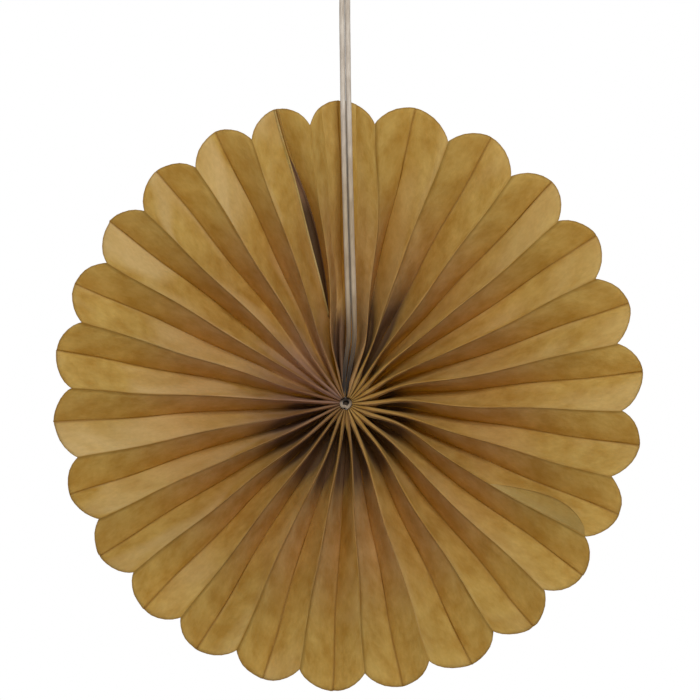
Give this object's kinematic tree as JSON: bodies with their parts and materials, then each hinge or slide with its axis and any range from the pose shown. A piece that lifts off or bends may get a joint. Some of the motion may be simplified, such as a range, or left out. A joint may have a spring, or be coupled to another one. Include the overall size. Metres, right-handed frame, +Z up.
{
  "type": "paper fan rosette",
  "caption": "Round hanging paper fan: a pleated paper strip closed into a scalloped rosette, gathered at its hub by a string that is doubled above it and knotted into a hanging loop.",
  "frame": {"origin": "inside top of the hanging loop, the point that bears on a hook", "axes": "+Z up along the string, the fan hangs below; the fan's front faces -Y, +X is to its right"},
  "size_m": [0.1525, 0.0134, 0.2052],
  "materials": {
    "paper": "semi-matt dyed tissue paper",
    "string": "matt cotton string"
  },
  "bodies": {
    "root": {"paper_fan": "paper", "hub_tie": "string", "hanging_string": "string", "top_knot": "string"}
  },
  "joints": []
}
